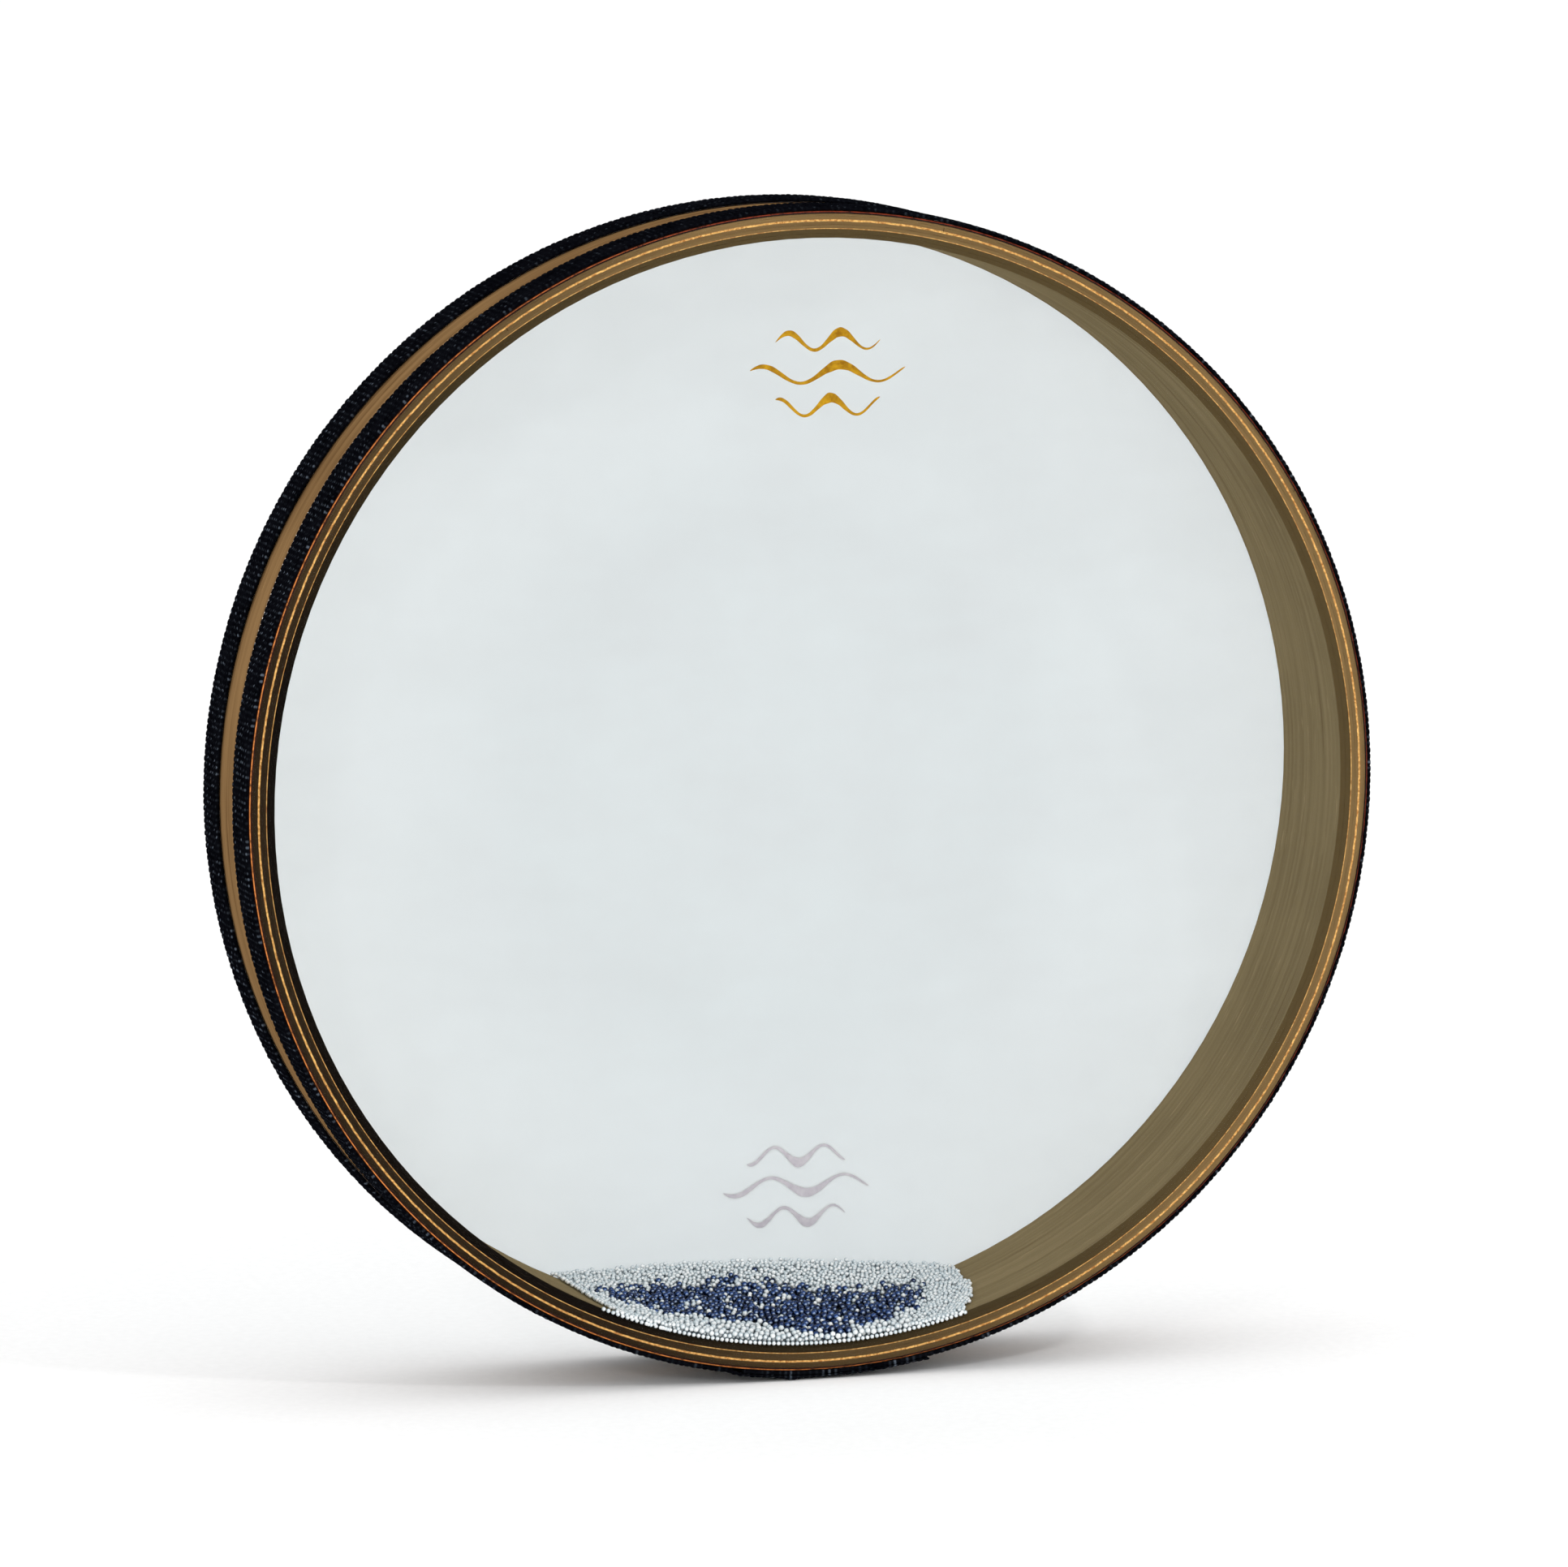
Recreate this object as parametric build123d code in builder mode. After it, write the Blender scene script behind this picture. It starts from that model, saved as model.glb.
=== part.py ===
"""Ocean drum: a double-headed frame drum, stood on its rim, with loose beads rolling inside.

Frame: millimetres, +Y along the drum's axis, +Z up, origin at the centre of the drum.
The clear head faces -Y and the white head faces +Y. The beads lie at the lowest point of the shell.
"""

import os
from math import asin, cos, degrees, radians, sin, sqrt

from build123d import *

# Shell: six bent plies, each with its ends butted at its own place round the drum
SHELL_RADIUS = 203.2
SHELL_DEPTH = 63.5
SHELL_WALL = 9.3
PLY_COUNT = 6
PLY_PITCH = SHELL_WALL / PLY_COUNT
GLUE_LINE = 0.06
CREST_INSET = 3.2
CROWN_RADIUS = 7.0
CORNER_RADIUS = 0.8
CREST_FALL = 0.45
CHAMFER_WIDTH = 3.3
CHAMFER_DEPTH = 2.4
BUTT_GAP = 0.2
FIRST_BUTT = 48.0
BUTT_STEP = 47.0

# Film heads, each one sheet with its skirt folded down the outside of the shell
FILM = 0.25
FILM_LIFT = 0.05
FOLD_RADIUS = 0.9
FRONT_SKIRT = 24.5
BACK_SKIRT = 19.0
SKIRT_BOND = 0.15
BOND_START = 1.6
BOND_MARGIN = 0.5

# Staples through the skirts
STAPLES_PER_HEAD = 24
STAPLE_CROWN = 10.0
STAPLE_WIRE = 0.6
STAPLE_LEG = 4.6
STAPLE_INSET = 11.0

# Woven tape that covers each skirt, with its ends lapped: where the lap starts, and where its tip is
TAPE_INSET = 0.45
TAPE_WIDTH = 19.6
TAPE_THICKNESS = 1.6
LAP_RAMP = 2.0
LAP_SLIT = 0.05
FRONT_LAP = (262.4, 281.5)
BACK_LAP = (261.6, 273.0)

# Bead load: white beads heaped against the back head, thinning to a layer at the front head
SHELL_CLEARANCE = 0.5
HEAD_CLEARANCE = 0.6
BACK_LEFT = -80.0
BACK_RIGHT = 69.0
BACK_HEIGHT = 19.0
FRONT_LEFT = -80.0
FRONT_RIGHT = 59.0
FRONT_HEIGHT = 2.6

# Blue beads, one by one in staggered rows on the sloping top of the white ones
BLUE_RADIUS = 1.35
BLUE_LIFT = 0.3
BLUE_ROWS = 13
BLUE_COLUMNS = 30
BLUE_MIDDLE = (0.47, 0.46)
BLUE_REACH = (0.36, 0.38)

inner_radius = SHELL_RADIUS - SHELL_WALL
half_depth = SHELL_DEPTH / 2
land_inner = inner_radius + CHAMFER_WIDTH
crest = SHELL_RADIUS - CREST_INSET
skirt_inner = SHELL_RADIUS + SKIRT_BOND
skirt_outer = skirt_inner + FILM
film_inner = half_depth + FILM_LIFT
film_outer = film_inner + FILM
tape_inner = skirt_outer
tape_outer = tape_inner + TAPE_THICKNESS
tape_middle = half_depth - TAPE_INSET - TAPE_WIDTH / 2

os.makedirs("parts", exist_ok=True)


def around(radius, angle):
    """A point at this radius and angle, in degrees, about the drum's axis: (x, z)."""
    return (radius * cos(radians(angle)), radius * sin(radians(angle)))


def save(part, name):
    part.label = name
    export_step(part, f"parts/{name}.step")


def face_plane(depth):
    """A plane across the drum at this depth. Its X is the drum's X and its Y is the drum's Z."""
    return Plane(origin=(0, depth, 0), x_dir=(1, 0, 0), z_dir=(0, -1, 0))


def over_edge(height, outside, crown, corner):
    """A wide arc out from the crest at this height, then a tight one that turns down the outside."""
    turn = degrees(asin((outside - corner - crest) / (crown - corner)))
    wide = JernArc((crest, height), (1, 0), crown, -turn)
    return JernArc(wide @ 1, wide % 1, corner, turn - 90)


# ---- shell plies -----------------------------------------------------------------------------

for number in range(1, PLY_COUNT + 1):
    ply_outer = inner_radius + number * PLY_PITCH
    ply_thickness = PLY_PITCH - (GLUE_LINE if number > 1 else 0)
    ply_middle = ply_outer - ply_thickness / 2
    butt_at = FIRST_BUTT + number * BUTT_STEP
    butt_turn = degrees(BUTT_GAP / ply_outer)
    with BuildPart() as ply:
        with BuildSketch(Plane.XY.rotated((0, butt_at, 0))):
            with BuildLine():
                Polyline(
                    (SHELL_RADIUS, 0),
                    (inner_radius, 0),
                    (inner_radius, half_depth - CHAMFER_DEPTH),
                    (land_inner, half_depth - CREST_FALL),
                    (crest, half_depth),
                )
                corner = over_edge(half_depth, SHELL_RADIUS, CROWN_RADIUS, CORNER_RADIUS)
                Line(corner @ 1, (SHELL_RADIUS, 0))
            make_face()
            mirror(about=Plane.XZ)
            with Locations((ply_middle, 0)):
                Rectangle(ply_thickness, SHELL_DEPTH, mode=Mode.INTERSECT)
        revolve(axis=Axis.Y, revolution_arc=360 - butt_turn)
    save(ply.part, f"shell_ply_{number}")

# ---- heads and the bond under their skirts -----------------------------------------------------

for name, side, skirt_length in (("front", -1, FRONT_SKIRT), ("back", 1, BACK_SKIRT)):
    skirt_edge = film_outer - skirt_length
    profile_plane = Plane.XY if side > 0 else Plane.XY.rotated((180, 0, 0))
    with BuildPart() as head:
        with BuildSketch(profile_plane):
            with BuildLine():
                Line((0, film_outer), (0, film_inner))
                Line((0, film_inner), (crest, film_inner))
                fold = over_edge(film_inner, skirt_inner, CROWN_RADIUS + FILM_LIFT, FOLD_RADIUS)
                Line(fold @ 1, (skirt_inner, skirt_edge))
                Line((skirt_inner, skirt_edge), (skirt_outer, skirt_edge))
                fold = over_edge(
                    film_outer, skirt_outer, CROWN_RADIUS + FILM_LIFT + FILM, FOLD_RADIUS + FILM
                )
                Line(fold @ 1, (skirt_outer, skirt_edge))
                Line((crest, film_outer), (0, film_outer))
            make_face()
        revolve(axis=Axis.Y)
    save(head.part, f"{name}_head")

    bond_top = half_depth - BOND_START
    bond_depth = bond_top - (skirt_edge + BOND_MARGIN)
    bond_middle = side * (bond_top - bond_depth / 2)
    with BuildPart() as bond:
        with BuildSketch(face_plane(bond_middle)):
            Circle(skirt_inner)
            Circle(SHELL_RADIUS, mode=Mode.SUBTRACT)
        extrude(amount=bond_depth / 2, both=True)
    save(bond.part, f"{name}_skirt_bond")

# ---- staples: two legs in the plies and a crown on the skirt, under the tape -------------------

for name, side in (("front", -1), ("back", 1)):
    staple_depth = side * (half_depth - STAPLE_INSET)
    with BuildPart() as staples:
        with BuildSketch(face_plane(staple_depth)):
            with PolarLocations(skirt_outer, STAPLES_PER_HEAD, start_angle=7.5):
                with Locations((STAPLE_WIRE / 2, 0)):
                    Rectangle(STAPLE_WIRE, STAPLE_CROWN)
                with Locations((-STAPLE_LEG / 2, (STAPLE_CROWN - STAPLE_WIRE) / 2)):
                    Rectangle(STAPLE_LEG, STAPLE_WIRE)
                with Locations((-STAPLE_LEG / 2, (STAPLE_WIRE - STAPLE_CROWN) / 2)):
                    Rectangle(STAPLE_LEG, STAPLE_WIRE)
        extrude(amount=STAPLE_WIRE, both=True)
    save(staples.part, f"{name}_staples")

# ---- woven tape, one strap with its ends lapped at the bottom ----------------------------------

for name, side, lap in (("front", -1, FRONT_LAP), ("back", 1, BACK_LAP)):
    lap_start, lap_tip = lap
    lap_middle = (lap_start + lap_tip) / 2
    ramp_foot = lap_start - LAP_RAMP
    lap_inner = tape_outer + LAP_SLIT
    lap_outer = lap_inner + TAPE_THICKNESS
    with BuildPart() as tape:
        with BuildSketch(face_plane(side * tape_middle)):
            with BuildLine():
                ThreePointArc(
                    around(tape_inner, lap_start),
                    around(tape_inner, lap_start + 180),
                    around(tape_inner, ramp_foot),
                )
                Line(around(tape_inner, ramp_foot), around(lap_inner, lap_start))
                ThreePointArc(
                    around(lap_inner, lap_start),
                    around(lap_inner, lap_middle),
                    around(lap_inner, lap_tip),
                )
                Line(around(lap_inner, lap_tip), around(lap_outer, lap_tip))
                ThreePointArc(
                    around(lap_outer, lap_tip),
                    around(lap_outer, lap_middle),
                    around(lap_outer, lap_start),
                )
                Line(around(lap_outer, lap_start), around(tape_outer, ramp_foot))
                ThreePointArc(
                    around(tape_outer, ramp_foot),
                    around(tape_outer, lap_start + 180),
                    around(tape_outer, lap_start),
                )
                Line(around(tape_outer, lap_start), around(tape_inner, lap_start))
            make_face()
        extrude(amount=TAPE_WIDTH / 2, both=True)
    save(tape.part, f"{name}_webbing")

# ---- bead load -----------------------------------------------------------------------------------

load_radius = inner_radius - SHELL_CLEARANCE
load_depth = half_depth - HEAD_CLEARANCE


def on_shell(x):
    """The point of the load's underside at this x."""
    return (x, -sqrt(load_radius**2 - x**2))


with BuildPart() as white_beads:
    with BuildSketch(face_plane(-load_depth)):
        with BuildLine():
            front_middle = (FRONT_LEFT + FRONT_RIGHT) / 2
            ThreePointArc(on_shell(FRONT_LEFT), on_shell(front_middle), on_shell(FRONT_RIGHT))
            front_top = ThreePointArc(
                on_shell(FRONT_RIGHT),
                (front_middle, on_shell(front_middle)[1] + FRONT_HEIGHT),
                on_shell(FRONT_LEFT),
            )
        make_face()
    with BuildSketch(face_plane(load_depth)):
        with BuildLine():
            back_middle = (BACK_LEFT + BACK_RIGHT) / 2
            ThreePointArc(on_shell(BACK_LEFT), on_shell(back_middle), on_shell(BACK_RIGHT))
            back_top = ThreePointArc(
                on_shell(BACK_RIGHT),
                (back_middle, on_shell(back_middle)[1] + BACK_HEIGHT),
                on_shell(BACK_LEFT),
            )
        make_face()
    loft(ruled=True)
save(white_beads.part, "white_beads")

slope = (BACK_HEIGHT - FRONT_HEIGHT) / (2 * load_depth)
blue_centres = []
for row in range(BLUE_ROWS):
    for column in range(BLUE_COLUMNS):
        across = (column + 0.5 * (row % 2) + 0.5) / BLUE_COLUMNS
        back = (row + 0.5) / BLUE_ROWS
        off_x = (across - BLUE_MIDDLE[0]) / BLUE_REACH[0]
        off_y = (back - BLUE_MIDDLE[1]) / BLUE_REACH[1]
        if off_x**2 + off_y**2 < 1:
            front_point = front_top @ across
            back_point = back_top @ across
            resting = front_point * (1 - back) + back_point * back
            lift = (BLUE_RADIUS + BLUE_LIFT) / sqrt(1 + slope**2)
            y = load_depth * (2 * back - 1)
            blue_centres.append((resting.X, y - slope * lift, resting.Y + lift))

with BuildPart() as blue_beads:
    with Locations(*blue_centres):
        Sphere(BLUE_RADIUS)
save(blue_beads.part, "blue_beads")
print(len(blue_centres), "blue beads")
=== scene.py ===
"""The looks of the ocean drum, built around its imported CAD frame. Metres, +Y along the drum's axis."""

import math

import bmesh
import bpy
import numpy as np
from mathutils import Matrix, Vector


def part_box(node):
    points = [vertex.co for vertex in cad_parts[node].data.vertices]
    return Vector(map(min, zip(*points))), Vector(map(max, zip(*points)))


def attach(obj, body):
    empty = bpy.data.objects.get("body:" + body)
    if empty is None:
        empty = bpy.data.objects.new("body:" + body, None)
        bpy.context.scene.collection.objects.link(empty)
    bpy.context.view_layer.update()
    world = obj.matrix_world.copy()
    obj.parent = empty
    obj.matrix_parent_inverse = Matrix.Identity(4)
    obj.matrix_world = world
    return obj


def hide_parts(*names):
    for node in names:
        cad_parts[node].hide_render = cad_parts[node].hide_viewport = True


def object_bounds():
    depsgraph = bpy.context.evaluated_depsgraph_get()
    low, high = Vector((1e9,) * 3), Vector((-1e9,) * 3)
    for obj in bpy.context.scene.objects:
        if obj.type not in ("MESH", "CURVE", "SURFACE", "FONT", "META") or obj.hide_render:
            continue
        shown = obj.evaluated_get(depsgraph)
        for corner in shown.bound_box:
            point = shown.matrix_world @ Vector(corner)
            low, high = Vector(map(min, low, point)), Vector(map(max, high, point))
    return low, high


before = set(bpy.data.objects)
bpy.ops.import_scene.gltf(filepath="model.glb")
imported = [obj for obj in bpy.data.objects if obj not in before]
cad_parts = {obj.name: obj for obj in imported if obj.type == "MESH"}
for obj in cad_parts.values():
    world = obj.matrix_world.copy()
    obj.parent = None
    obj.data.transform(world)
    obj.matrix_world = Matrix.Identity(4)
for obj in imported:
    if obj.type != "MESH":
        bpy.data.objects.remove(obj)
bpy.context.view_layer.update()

MM = 0.001
RNG = np.random.default_rng(16)

# Places read from the frame
HEAD_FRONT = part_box("front_head")[0].y
HEAD_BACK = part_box("back_head")[1].y
HALF_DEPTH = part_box("shell_ply_4")[1].y
SHELL_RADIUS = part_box("shell_ply_6")[1].x
FLOOR_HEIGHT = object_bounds()[0].z

# The shell's wall, and the bevel inside its edge: how far its foot and its top lie below the shell's end
INNER_RADIUS = SHELL_RADIUS - 9.3 * MM
BEVEL_WIDTH = 3.3 * MM
BEVEL_FOOT = 2.4 * MM
BEVEL_HEAD = 0.45 * MM
BEVEL_TOP = INNER_RADIUS + BEVEL_WIDTH

# Painted highlight lines on the edge, and the fold of the clear film with its painted highlight: radii and
# widths
CREST_HIGHLIGHT = 200.05 * MM
CREST_HIGHLIGHT_WIDTH = 0.85 * MM
CREST_HIGHLIGHT_WANDER = 0.7 * MM
BEVEL_HIGHLIGHT_WIDTH = 0.36 * MM
FOLD_HIGHLIGHT = 203.05 * MM
FOLD_HIGHLIGHT_WIDTH = 0.42 * MM
FOLD_START = 202.35 * MM
FOLD_DEPTH = 1.9 * MM

# Camera: a long lens, left of the drum's axis and a little above it
CAMERA_AZIMUTH = -16.84
CAMERA_ELEVATION = 7.68
CAMERA_DISTANCE = 3.176
CAMERA_TARGET = Vector((-3.1 * MM, 0, 0.2 * MM))
CAMERA_LENS = 207.8
SENSOR_WIDTH = 36.0


# ---- mesh helpers ------------------------------------------------------------------------------


def mesh_object(name, points, faces, smooth=True):
    """An object in the scene with a mesh of these points and faces."""
    mesh = bpy.data.meshes.new(name)
    mesh.from_pydata([tuple(p) for p in points], [], [tuple(f) for f in faces])
    mesh.validate()
    if smooth:
        mesh.shade_smooth()
    else:
        mesh.shade_flat()
    made = bpy.data.objects.new(name, mesh)
    bpy.context.scene.collection.objects.link(made)
    return made


def array_object(name, points, faces):
    """As mesh_object, for large numpy arrays of points and of faces that all have the same corners."""
    mesh = bpy.data.meshes.new(name)
    corners = faces.shape[1]
    mesh.vertices.add(len(points))
    mesh.vertices.foreach_set("co", points.astype(np.float32).ravel())
    mesh.loops.add(faces.size)
    mesh.loops.foreach_set("vertex_index", faces.astype(np.int32).ravel())
    mesh.polygons.add(len(faces))
    mesh.polygons.foreach_set("loop_start", np.arange(0, faces.size, corners, dtype=np.int32))
    mesh.update(calc_edges=True)
    mesh.shade_smooth()
    made = bpy.data.objects.new(name, mesh)
    bpy.context.scene.collection.objects.link(made)
    return made


def finish_piece(piece, body, material, slot, *nodes):
    """Gives a piece its material and body, and hides the CAD nodes that it replaces. Its slot is not used."""
    piece.data.materials.append(material)
    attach(piece, body)
    if nodes:
        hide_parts(*nodes)


# ---- material helpers --------------------------------------------------------------------------


class Shader:
    """A material with one Principled shader, and short calls for the nodes that feed it."""

    def __init__(self, name, **settings):
        self.material = bpy.data.materials.new(name)
        self.material.use_nodes = True
        self.tree = self.material.node_tree
        self.surface = self.tree.nodes["Principled BSDF"]
        self.output = self.tree.nodes["Material Output"]
        for socket, value in settings.items():
            self.surface.inputs[socket.replace("_", " ")].default_value = value
        coordinates = self.add("TexCoord")
        self.place = coordinates.outputs["Object"]
        self.normal = coordinates.outputs["Normal"]

    def add(self, kind, **inputs):
        """A node of this kind, each input given a value or a link by its name."""
        node = self.tree.nodes.new("ShaderNode" + kind)
        for socket, value in inputs.items():
            self.feed(node.inputs[socket.replace("_", " ")], value)
        return node

    def feed(self, socket, value):
        if isinstance(value, bpy.types.NodeSocket):
            self.tree.links.new(value, socket)
        else:
            socket.default_value = value

    def sum(self, operation, *values):
        """The result of one Math node."""
        node = self.add("Math")
        node.operation = operation
        for socket, value in zip(node.inputs, values):
            self.feed(socket, value)
        return node.outputs[0]

    def noise(self, vector, scale, detail=4.0, roughness=0.5):
        noise = self.add("TexNoise", Vector=vector, Scale=scale, Detail=detail, Roughness=roughness)
        return noise.outputs["Fac"]

    def stretched(self, x, y, z):
        """The shaded point's place, with each axis stretched by its own factor."""
        return self.add("Mapping", Vector=self.place, Scale=(x, y, z)).outputs[0]

    def blend(self, factor, first, second):
        """One surface shader below, another above, by a factor."""
        both = self.add("MixShader", Fac=factor)
        self.tree.links.new(first.outputs[0], both.inputs[1])
        self.tree.links.new(second.outputs[0], both.inputs[2])
        return both

    def ramp(self, value, *stops):
        """A colour ramp with stops of (position, colour)."""
        node = self.add("ValToRGB", Fac=value)
        ramp = node.color_ramp
        while len(ramp.elements) < len(stops):
            ramp.elements.new(0.5)
        for element, (position, colour) in zip(ramp.elements, stops):
            element.position = position
            element.color = (*colour, 1.0)
        return node.outputs["Color"]

    def spread(self, value, low, high, to_low, to_high):
        """The value's range from low to high, stretched to another range and clamped to it."""
        node = self.add("MapRange", Value=value, From_Min=low, From_Max=high, To_Min=to_low, To_Max=to_high)
        return node.outputs["Result"]

    def mix(self, factor, first, second, blend="MIX"):
        node = self.add("Mix")
        node.data_type = "RGBA"
        node.blend_type = blend
        self.feed(node.inputs["Factor"], factor)
        self.feed(node.inputs["A"], first)
        self.feed(node.inputs["B"], second)
        return node.outputs["Result"]

    def bump(self, height, strength, distance):
        bump = self.add("Bump", Height=height, Strength=strength, Distance=distance)
        self.feed(self.surface.inputs["Normal"], bump.outputs["Normal"])

    def set(self, socket, value):
        self.feed(self.surface.inputs[socket], value)

    def finish_with(self, shader):
        """Makes this shader node the material's surface."""
        self.tree.links.new(shader.outputs[0], self.output.inputs["Surface"])


def linear(red, green, blue):
    """A colour given as screen values from 0 to 255, in linear light."""
    shares = (value / 255 for value in (red, green, blue))
    return tuple(s / 12.92 if s < 0.0405 else ((s + 0.055) / 1.055) ** 2.4 for s in shares)


def solid(red, green, blue):
    """The same colour with full opacity, as a mix takes it."""
    return (*linear(red, green, blue), 1)


def axis_place(shader):
    """x, y and z of the shaded point, and its radius about the drum's axis."""
    x, y, z = shader.add("SeparateXYZ", Vector=shader.place).outputs
    square = shader.sum("ADD", shader.sum("MULTIPLY", x, x), shader.sum("MULTIPLY", z, z))
    return x, y, z, shader.sum("SQRT", square)


def painted_light_side(shader, x, z):
    """0 at the drum's lower left and 1 at its upper right: the mask by which the edge's painted shade and
    painted highlights change round the drum.
    """
    lean = shader.sum("ADD", shader.sum("MULTIPLY", x, 0.9), shader.sum("MULTIPLY", z, 0.45))
    return shader.spread(lean, -150 * MM, 60 * MM, 0, 1)


def band(shader, value, middle, width, soft=0.5):
    """1 on a band of this width about a middle value, falling to 0 over a soft part of it at each side."""
    off = shader.sum("ABSOLUTE", shader.sum("SUBTRACT", value, middle))
    return shader.spread(off, width / 2, width / 2 * (1 - soft), 0, 1)


def grain_place(shader, x, z, across, slow, fast):
    """Noise coordinates for grain that runs round the shell: slow along x and z, and fast across it."""
    place = shader.add(
        "CombineXYZ",
        X=shader.sum("MULTIPLY", x, slow),
        Y=shader.sum("MULTIPLY", z, slow),
        Z=shader.sum("MULTIPLY", across, fast),
    )
    return place.outputs[0]


def edge_stain_and_painted_light(s, x, z, radius, fibres):
    """The shell's edge: stained plies, with painted shade that deepens towards the lower left and in the
    bevel, and painted highlights in broken golden lines along the crest and the bevel's top.
    """
    side = painted_light_side(s, x, z)
    # Painted shade: the stained plies darker and browner towards the lower left, where the edge is lit less.
    stain_and_shade = s.mix(side, solid(50, 39, 27), solid(136, 110, 72))
    stain_and_shade = s.mix(s.spread(fibres, 0.3, 0.7, 0.4, 0), stain_and_shade, solid(24, 18, 13))
    # Painted shade: the bevel inside the edge near black, darkest towards the lower left, as the shade under
    # the film.
    bevel = s.mix(side, solid(22, 18, 15), solid(86, 72, 47))
    edge = s.mix(s.spread(radius, BEVEL_TOP - 0.25 * MM, BEVEL_TOP, 0, 1), bevel, stain_and_shade)
    # Painted highlights: broken golden lines along the crest and along the top of the bevel, for light caught
    # where the film bends over the edge.
    breaks = s.noise(s.stretched(240, 0, 240), 1.0, 6.0, 0.8)
    sparkle = s.noise(s.stretched(900, 0, 900), 1.0, 3.0, 0.7)
    highlight_level = s.sum("ADD", s.sum("MULTIPLY", breaks, 0.25), s.sum("MULTIPLY", sparkle, 0.75))
    gold = s.mix(s.spread(highlight_level, 0.42, 0.58, 0, 1), solid(182, 120, 64), solid(252, 202, 120))
    wander = s.sum("MULTIPLY", s.sum("SUBTRACT", breaks, 0.5), CREST_HIGHLIGHT_WANDER)
    wide = band(s, s.sum("ADD", radius, wander), CREST_HIGHLIGHT, CREST_HIGHLIGHT_WIDTH)
    wide = s.sum("MULTIPLY", wide, s.spread(breaks, 0.34, 0.5, 0.85, 1))
    thin = band(s, radius, BEVEL_TOP, BEVEL_HIGHLIGHT_WIDTH)
    thin = s.sum("MULTIPLY", thin, s.spread(breaks, 0.4, 0.6, 0.6, 0.9))
    return s.mix(s.sum("MAXIMUM", wide, thin), edge, gold)


def wood(name, light, dark, rough=0.5):
    """Bent ply, with its grain running round the shell, and stained on the shell's edge, where it also has
    painted shade and painted highlight lines.
    """
    s = Shader(name, Specular_IOR_Level=0.0)
    x, y, z, radius = axis_place(s)
    across = s.sum("ADD", y, radius)
    fibres = s.noise(grain_place(s, x, z, across, 9.0, 420.0), 1.0, 6.0, 0.6)
    clouds = s.noise(s.place, 14.0, 3.0)
    tone = s.sum("ADD", s.sum("MULTIPLY", fibres, 0.65), s.sum("MULTIPLY", clouds, 0.35))
    colour = s.ramp(tone, (0.36, dark), (0.62, light))
    flecks = s.noise(grain_place(s, x, z, across, 60.0, 1300.0), 1.0, 2.0, 0.5)
    pale = (*[min(1, c * 1.7) for c in light], 1)
    colour = s.mix(s.spread(flecks, 0.66, 0.74, 0, 0.55), colour, pale)
    pores = s.ramp(fibres, (0.25, (0.55, 0.5, 0.45)), (0.38, (1, 1, 1)))
    colour = s.mix(0.8, colour, pores, "MULTIPLY")
    edge = edge_stain_and_painted_light(s, x, z, radius, fibres)
    foot = HALF_DEPTH - BEVEL_FOOT
    on_edge = s.spread(s.sum("ABSOLUTE", y), foot - 0.3 * MM, foot + 0.1 * MM, 0, 1)
    s.set("Base Color", s.mix(on_edge, colour, edge))
    s.set("Roughness", s.spread(fibres, 0.3, 0.7, rough + 0.08, rough - 0.08))
    s.bump(fibres, 0.25, 0.2 * MM)
    return s.material


def clear_film():
    """Clear film, with what is behind showing through. Cement colours it amber where it folds over the
    corner, with a painted highlight line along the fold.
    """
    s = Shader("clear_film", Roughness=0.4, Specular_IOR_Level=0.1)
    x, y, z, radius = axis_place(s)
    haze = s.noise(s.place, 30.0, 5.0)
    through = s.ramp(haze, (0.3, (0.988, 0.988, 0.986)), (0.7, (0.996, 0.996, 0.995)))
    clear = s.add("BsdfTransparent", Color=through)
    gloss = s.add("BsdfGlossy", Roughness=s.spread(haze, 0.3, 0.7, 0.2, 0.3), Color=(1, 1, 1, 1))
    fresnel = s.add("Fresnel", IOR=1.04)
    sheet = s.blend(fresnel.outputs[0], clear, gloss)

    breaks = s.noise(s.stretched(330, 0, 330), 1.0, 6.0, 0.8)
    # Painted highlight: a broken bright orange line along the fold, brightest towards the lower left, over
    # amber cement that is painted darker towards the upper right.
    side = painted_light_side(s, x, z)
    bright = s.mix(side, solid(244, 150, 76), solid(140, 52, 24))
    cement_and_shade = s.mix(side, solid(52, 24, 13), solid(30, 14, 10))
    line = band(s, radius, FOLD_HIGHLIGHT, FOLD_HIGHLIGHT_WIDTH)
    line = s.sum("MULTIPLY", line, s.spread(breaks, 0.4, 0.54, 0.1, 1))
    s.set("Base Color", s.mix(line, cement_and_shade, bright))
    past_crest = s.spread(radius, FOLD_START, FOLD_START + 0.15 * MM, 0, 1)
    corner = HALF_DEPTH - FOLD_DEPTH
    at_corner = s.spread(s.sum("ABSOLUTE", y), corner, corner + 0.3 * MM, 0, 0.9)
    s.finish_with(s.blend(s.sum("MULTIPLY", past_crest, at_corner), sheet, s.surface))
    return s.material


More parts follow.
